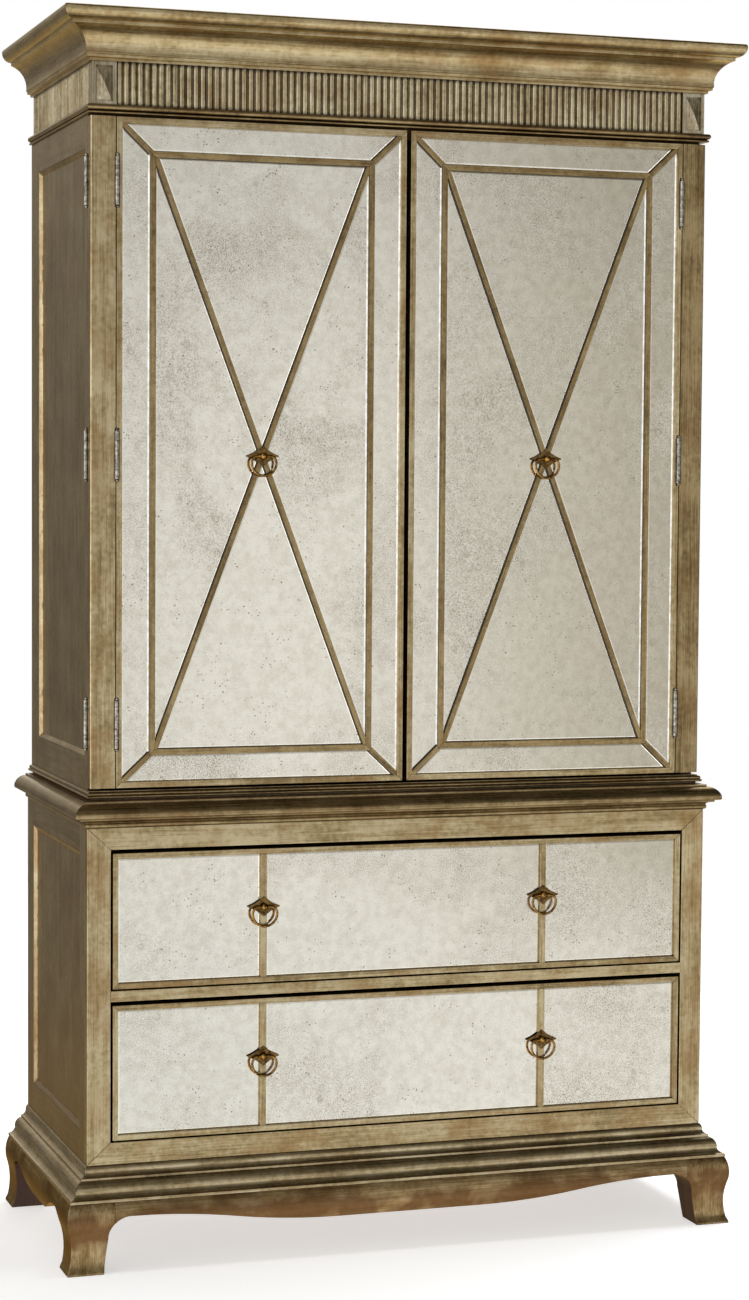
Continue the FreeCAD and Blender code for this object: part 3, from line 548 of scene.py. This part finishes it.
def dress_case():
    """Leafed members of the fixed case and its mouldings."""
    for node in ("face_frame", "drawer_rails"):
        finished(node, LEAF, bevel=0.9 * MM)
    for level in LEVELS:
        finished(level + "_side_panels", SHADED_SIDE_LEAF, **SIDE_EDGES)
        for side in SIDES:
            finished(level + "_side_frame_" + side, SHADED_SIDE_LEAF, **SIDE_EDGES)
    finished("base_moulding", BASE_LEAF, **MOULDING_EDGES)
    for node in ("waist_moulding", "upper_base_moulding", "frieze_bead"):
        finished(node, DARK_SHADED_LEAF, **MOULDING_EDGES)
    finished("cornice", LEAF, **MOULDING_EDGES)
    finished("frieze_reeding", REED_LEAF, axis=ALONG_Z, smooth_angle=25.0)
    finished("frieze_corner_blocks", PALE_LEAF, axis=ALONG_Z, smooth_angle=6.0)
    finished("aprons", FOOT_LEAF, bevel=1.2 * MM)
    for node in ("front_feet", "back_feet"):
        # The feet's inner sides take the dark stain, which also paints the shade there.
        finished(node, FOOT_LEAF, bevel=2.2 * MM, axis=ALONG_Z, is_second=inner_side,
                 second_looks=UNDERSIDE_SHADE)


def dress_inside():
    """Plain boards and the clothes rod."""
    for node in ("lower_bottom_board", "lower_back_panel", "lower_top_board", "drawer_runners",
                 "upper_bottom_board", "upper_top_board", "upper_back_panel", "hat_shelf",
                 "frieze_boards"):
        finished(node, INSIDE, bevel=0.6 * MM)
    for node in ("clothes_rod", "rod_sockets"):
        dress(node, RAIL)


def dress_pull(node):
    """Dark back plates with brighter balls in front of them."""
    plate_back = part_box(node)[1][1]
    ball_start = plate_back - PLATE_THICKNESS - PLATE_MARGIN

    def is_ball(face):
        return face.calc_center_median().y < ball_start

    finished(node, PLATE, smooth_angle=50.0, is_second=is_ball, second_looks=BRASS)


def dress_ring(node):
    finished(node, BRASS, smooth_angle=60.0)


def dress_doors():
    """Corner posts, doors, and what turns with them."""
    finished("pilaster_left", LEAF, bevel=1.3 * MM)
    # Painted shade: the right post takes the darker leaf, so it looks less lit than the left
    # post.
    finished("pilaster_right", DARK_SHADED_LEAF, bevel=1.3 * MM)
    for side in SIDES:
        finished("door_frame_" + side, LEAF, bevel=0.6 * MM)
        # The strips' sides take the near-black brown as painted shade.
        finished("door_lattice_" + side, STRIP_LEAF, bevel=0.6 * MM, is_second=flank,
                 second_looks=SHADED_FLANK)
        finished("door_panel_" + side, INSIDE, bevel=0.5 * MM)
        # The right-hand slopes of the panes glow white: a painted highlight.
        finished("door_mirrors_" + side, MIRROR, axis=ALONG_Z, smooth_angle=3.0,
                 is_second=right_bevel, second_looks=PAINTED_EDGE_HIGHLIGHT)
        for node in ("pilaster_hinges_", "door_hinge_leaves_"):
            dress(node + side, STEEL)
        dress_pull("door_pull_" + side)
        dress_ring("door_ring_" + side)
    dress("case_hinges", STEEL)


def dress_drawers():
    """Drawers with their mirrors and pulls."""
    for level in LEVELS:
        finished("drawer_front_" + level, LEAF, bevel=0.6 * MM)
        finished("drawer_box_" + level, INSIDE, bevel=0.8 * MM)
        finished("drawer_mirrors_" + level, MIRROR, axis=ALONG_X, smooth_angle=3.0)
        dress_pull("drawer_pulls_" + level)
        for side in SIDES:
            dress_ring("drawer_ring_" + level + "_" + side)


# --- Surroundings, floor and camera -------------------------------------------------
# Light round the object. Each stop: angle from the front, positive to the right; level;
# warmth, 0 for white and more for yellower.
WALL_LIGHT = ((-180, 0.22, 0.6), (-166, 0.13, 0.6), (-150, 0.16, 0.5), (-125, 0.6, 0.0),
              (-100, 1.3, 0.0), (-92, 2.6, 0.0), (-64, 2.6, 0.0), (-50, 1.6, 0.0),
              (-32, 1.2, 0.0), (-20, 1.08, 0.0), (-8, 0.88, 0.0), (8, 0.74, 0.2),
              (13, 0.76, 0.2), (14.4, 0.85, 0.15), (17.6, 0.88, 0.15), (19.4, 0.78, 0.3),
              (22.5, 0.60, 0.8), (26, 0.44, 1.0), (30, 0.34, 1.0), (44, 0.18, 1.0),
              (58, 0.12, 1.0), (108, 0.18, 0.6), (132, 0.9, 0.0), (158, 0.7, 0.0),
              (180, 0.22, 0.6))
GROUND_LIGHT = ((-180, 0.22, 0.8), (-166, 0.15, 0.8), (-150, 0.16, 0.8), (-110, 0.7, 0.4),
                (-60, 1.5, 0.0), (0, 0.90, 0.0), (9, 0.80, 0.0), (16, 0.82, 0.0),
                (20, 0.88, 0.1), (28, 0.86, 0.2), (45, 0.4, 1.0), (58, 0.16, 1.0),
                (108, 0.22, 1.0), (140, 0.6, 0.6), (180, 0.22, 0.8))
# Up to the first of these angles above the floor the light is the ground's, and from the
# second it is the walls'.
GROUND_LINE, WALL_LINE = -9.5, -7.5
# Share of that light up and down. Each stop: angle above the floor; share; warmth.
FRONT_LIGHT = ((-90, 0.80, 1.0), (-60, 1.05, 1.0), (-32, 1.50, 0.5), (-20, 1.22, 0.0),
               (-13, 1.02, 0.0), (-3, 1.01, 0.0), (2, 0.96, 0.0), (8, 0.73, 0.0),
               (20, 0.47, 0.6), (40, 0.30, 1.0), (70, 0.24, 1.0), (90, 0.24, 1.0))
BACK_LIGHT = ((-90, 1.2, 2.0), (-32, 2.2, 3.0), (-14, 1.7, 3.0), (-10.5, 1.25, 1.0),
              (-3, 1.2, 0.5), (4, 1.4, 0.3), (9, 2.3, 0.3), (14, 3.0, 0.3), (25, 2.7, 0.3),
              (45, 2.0, 0.0), (90, 1.5, 0.0))
# FRONT_LIGHT holds up to the first of these angles from the front, BACK_LIGHT from the second.
FRONT_END, BACK_START = 125, 150
# Upright lamp at the right front: its sides, its reach up and down, its soft edge, its light.
LAMP_LEFT, LAMP_RIGHT, LAMP_TOP, LAMP_EDGE, LAMP_LIGHT = 31.5, 42.5, 10.0, 1.5, 2.2
# The ramps hold shares of this level, and the light that they give is multiplied back.
BRIGHTEST = 5.0
OVERHEAD_PLACE, OVERHEAD_SIZE, OVERHEAD_POWER = Vector((1.2, 0.6, 4.6)), 3.2, 170.0
FLOOR_COLOUR, FLOOR_GLOW = "eff1f5", 0.56
FLOOR_RADIUS, FLOOR_CORNERS = 9.0, 96
FADE_START, FADE_END = 0.3 * FLOOR_RADIUS, 0.98 * FLOOR_RADIUS
CAMERA_PLACE = Vector((-1.6122, -4.8958, 1.3425))
CAMERA_YAW, CAMERA_PITCH, CAMERA_ROLL = (math.radians(a) for a in (18.394, -3.343, 0.399))
CAMERA_LENS, CAMERA_SENSOR = 78.06, 36.0
CAMERA_RANGE = (0.1, 60.0)


def glow(level, warmth):
    """Light of a level, yellower as its warmth goes up."""
    return (level, level * (1 - 0.07 * warmth), level * (1 - 0.20 * warmth), 1.0)


def degrees_remap(tree, angle, low, high):
    """0 at an angle of low degrees, 1 at high."""
    return remap(tree, angle, math.radians(low), math.radians(high))


def light_ramp(tree, angle, limit, stops):
    """Light along an angle from -limit to limit degrees."""
    place = degrees_remap(tree, angle, -limit, limit)
    return ramp(tree, place, *(((at + limit) / (2 * limit), glow(level / BRIGHTEST, warmth))
                               for at, level, warmth in stops))


def tall_lamp(tree, azimuth, elevation):
    """1 inside an upright lamp to the right of the front, 0 outside it."""
    across = product(tree, degrees_remap(tree, azimuth, LAMP_LEFT - LAMP_EDGE, LAMP_LEFT),
                     degrees_remap(tree, azimuth, LAMP_RIGHT + LAMP_EDGE, LAMP_RIGHT))
    off_middle = math_node(tree, "ABSOLUTE", elevation)
    return product(tree, across,
                   degrees_remap(tree, off_middle, LAMP_TOP + LAMP_EDGE, LAMP_TOP))


def studio_light():
    """Soft surroundings, bright at the left front and dim behind; the camera sees white."""
    world = bpy.data.worlds.new("studio")
    scene.world = world
    tree = new_tree(world)
    towards = put(tree, "ShaderNodeTexCoord").outputs["Generated"]
    x, y, z = put(tree, "ShaderNodeSeparateXYZ", {0: towards}).outputs
    azimuth = math_node(tree, "ARCTAN2", x, product(tree, y, -1.0))
    elevation = math_node(tree, "ARCSINE", z)
    walls = light_ramp(tree, azimuth, 180, WALL_LIGHT)
    ground = light_ramp(tree, azimuth, 180, GROUND_LIGHT)
    below = degrees_remap(tree, elevation, WALL_LINE, GROUND_LINE)
    round_about = mixed(tree, below, walls, ground)
    front = light_ramp(tree, elevation, 90, FRONT_LIGHT)
    back = light_ramp(tree, elevation, 90, BACK_LIGHT)
    behind = degrees_remap(tree, math_node(tree, "ABSOLUTE", azimuth), FRONT_END, BACK_START)
    light = mixed(tree, 1.0, round_about, mixed(tree, behind, front, back), "MULTIPLY")
    light = mixed(tree, tall_lamp(tree, azimuth, elevation), light,
                  grey(LAMP_LIGHT / BRIGHTEST ** 2))
    soft = put(tree, "ShaderNodeBackground", {"Color": light, "Strength": BRIGHTEST ** 2})
    white = put(tree, "ShaderNodeBackground", {"Color": grey(1.0), "Strength": 1.0})
    seen = put(tree, "ShaderNodeLightPath").outputs["Is Camera Ray"]
    both = put(tree, "ShaderNodeMixShader", {0: seen, 1: soft.outputs[0], 2: white.outputs[0]})
    put(tree, "ShaderNodeOutputWorld", {"Surface": both.outputs[0]})


def overhead_light():
    """Wide soft lamp above, which gives the floor its light and its faint shadow."""
    lamp = bpy.data.lights.new("overhead", "AREA")
    lamp.shape = "DISK"
    lamp.size = OVERHEAD_SIZE
    lamp.energy = OVERHEAD_POWER
    holder = bpy.data.objects.new("overhead", lamp)
    holder.location = OVERHEAD_PLACE
    holder.rotation_euler = (-OVERHEAD_PLACE).to_track_quat("-Z", "Y").to_euler()
    holder.visible_glossy = False
    scene.collection.objects.link(holder)


def floor_material():
    """White floor that gives some light of its own and fades out into the background."""
    made = bpy.data.materials.new("pale_floor")
    tree = new_tree(made)
    diffuse = put(tree, "ShaderNodeBsdfDiffuse", {"Color": colour(FLOOR_COLOUR)})
    shine = put(tree, "ShaderNodeEmission", {"Color": grey(1.0), "Strength": FLOOR_GLOW})
    lit = put(tree, "ShaderNodeAddShader", {0: diffuse.outputs[0], 1: shine.outputs[0]})
    clear = put(tree, "ShaderNodeBsdfTransparent")
    from_middle = put(tree, "ShaderNodeVectorMath", {0: object_coordinates(tree)},
                      operation="LENGTH").outputs["Value"]
    fade = remap(tree, from_middle, FADE_START, FADE_END)
    both = put(tree, "ShaderNodeMixShader", {0: fade, 1: lit.outputs[0], 2: clear.outputs[0]})
    put(tree, "ShaderNodeOutputMaterial", {"Surface": both.outputs[0]})
    return made


def lay_floor():
    """Floor that the camera sees; reflections show the surroundings instead of it."""
    bm = bmesh.new()
    bmesh.ops.create_circle(bm, cap_ends=True, segments=FLOOR_CORNERS, radius=FLOOR_RADIUS)
    mesh = bpy.data.meshes.new("floor")
    bm.to_mesh(mesh)
    bm.free()
    mesh.materials.append(floor_material())
    floor = bpy.data.objects.new("floor", mesh)
    floor.visible_glossy = False
    floor.visible_diffuse = False
    scene.collection.objects.link(floor)


def set_camera():
    """Long lens, a little above the middle, from the front left."""
    camera = bpy.data.cameras.new("camera")
    camera.lens, camera.sensor_width = CAMERA_LENS, CAMERA_SENSOR
    camera.clip_start, camera.clip_end = CAMERA_RANGE
    forward = Vector((math.sin(CAMERA_YAW) * math.cos(CAMERA_PITCH),
                      math.cos(CAMERA_YAW) * math.cos(CAMERA_PITCH), math.sin(CAMERA_PITCH)))
    level = Vector((math.cos(CAMERA_YAW), -math.sin(CAMERA_YAW), 0))
    upright = level.cross(forward)
    right = level * math.cos(CAMERA_ROLL) + upright * math.sin(CAMERA_ROLL)
    up = upright * math.cos(CAMERA_ROLL) - level * math.sin(CAMERA_ROLL)
    turn = Matrix((right, up, -forward)).transposed().to_4x4()
    holder = bpy.data.objects.new("camera", camera)
    holder.matrix_world = Matrix.Translation(CAMERA_PLACE) @ turn
    scene.collection.objects.link(holder)
    scene.camera = holder


scene.view_settings.view_transform = "Standard"
set_camera()
studio_light()
overhead_light()
lay_floor()
dress_case()
dress_inside()
dress_doors()
dress_drawers()
